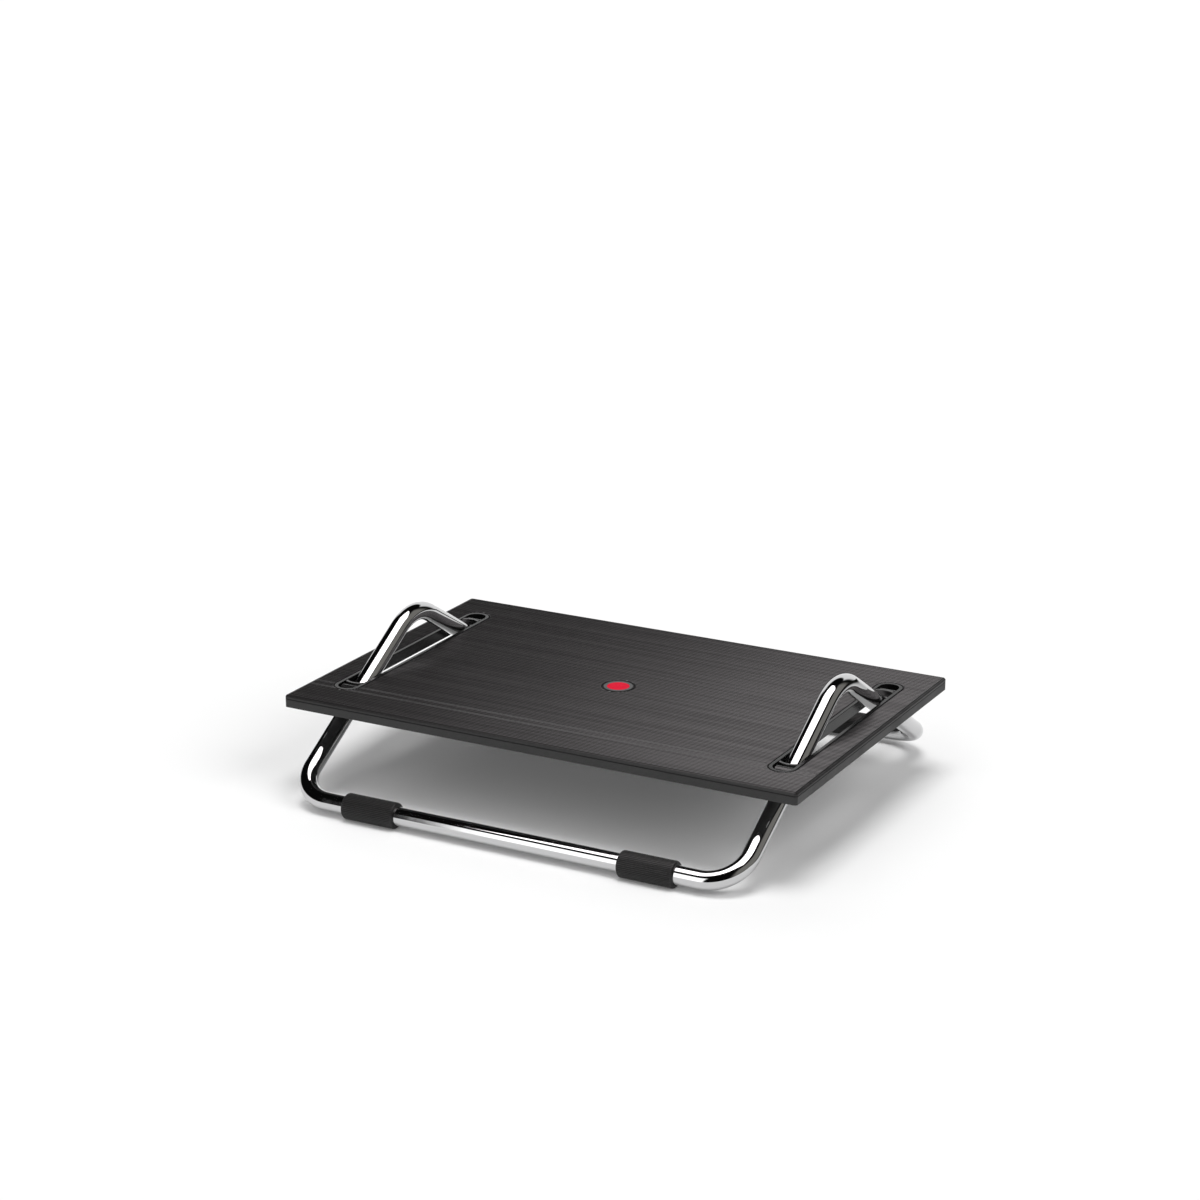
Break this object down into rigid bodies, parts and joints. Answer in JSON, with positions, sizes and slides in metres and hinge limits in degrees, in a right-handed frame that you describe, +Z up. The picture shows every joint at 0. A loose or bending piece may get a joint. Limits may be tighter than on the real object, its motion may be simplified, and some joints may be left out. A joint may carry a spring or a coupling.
{
  "type": "footrest",
  "caption": "Under-desk footrest: a textured rectangular plate that rocks on a bent chrome tube frame with rubber feet.",
  "frame": {"origin": "on the floor, below the middle of the plate", "axes": "+X along the plate's long side, +Y towards the rear bar, +Z up"},
  "size_m": [0.54, 0.457, 0.1419],
  "materials": {
    "chrome_tube": "polished",
    "tread_plastic": "fine ribbed texture",
    "base_plastic": "matt moulded",
    "liner_plastic": "smooth satin",
    "saddle_plastic": "smooth satin",
    "foot_rubber": "ribbed matt",
    "badge_red": "satin",
    "badge_grey": "smooth satin",
    "zinc_steel": "plain"
  },
  "bodies": {
    "frame": {"frame_tube": "chrome_tube", "splice_plug": "zinc_steel", "foot_front_left": "foot_rubber", "foot_front_right": "foot_rubber", "foot_rear_left": "foot_rubber", "foot_rear_right": "foot_rubber"},
    "plate": {"tread_panel": "tread_plastic", "base_plate": "base_plastic", "slot_liner_left": "liner_plastic", "slot_liner_right": "liner_plastic", "pivot_pin_front_left": "zinc_steel", "pivot_pin_front_right": "zinc_steel", "pivot_pin_rear_left": "zinc_steel", "pivot_pin_rear_right": "zinc_steel", "plate_screws": "zinc_steel", "badge_plug": "badge_grey", "badge_disc": "badge_red", "badge_clip": "zinc_steel"},
    "saddle_front_left": {"saddle_front_left": "saddle_plastic"},
    "saddle_front_right": {"saddle_front_right": "saddle_plastic"},
    "saddle_rear_left": {"saddle_rear_left": "saddle_plastic"},
    "saddle_rear_right": {"saddle_rear_right": "saddle_plastic"}
  },
  "joints": [
    {"name": "plate_tilt", "type": "hinge", "parent": "frame", "child": "plate", "pos_m": [0, 0, -0.10922], "axis": [1, 0, 0], "range_deg": [-6, 6]},
    {"name": "saddle_pivot_front_left", "type": "hinge", "parent": "plate", "child": "saddle_front_left", "pos_m": [-0.232, -0.1179, 0.087], "axis": [1, 0, 0], "range_deg": [-6, 6]},
    {"name": "saddle_pivot_front_right", "type": "hinge", "parent": "plate", "child": "saddle_front_right", "pos_m": [0.232, -0.1179, 0.087], "axis": [1, 0, 0], "range_deg": [-6, 6]},
    {"name": "saddle_pivot_rear_left", "type": "hinge", "parent": "plate", "child": "saddle_rear_left", "pos_m": [-0.232, 0.1179, 0.087], "axis": [1, 0, 0], "range_deg": [-6, 6]},
    {"name": "saddle_pivot_rear_right", "type": "hinge", "parent": "plate", "child": "saddle_rear_right", "pos_m": [0.232, 0.1179, 0.087], "axis": [1, 0, 0], "range_deg": [-6, 6]}
  ],
  "couplings": [
    {"joint": "saddle_pivot_front_left", "follows": "plate_tilt", "ratio": -1},
    {"joint": "saddle_pivot_front_right", "follows": "plate_tilt", "ratio": -1},
    {"joint": "saddle_pivot_rear_left", "follows": "plate_tilt", "ratio": -1},
    {"joint": "saddle_pivot_rear_right", "follows": "plate_tilt", "ratio": -1}
  ]
}
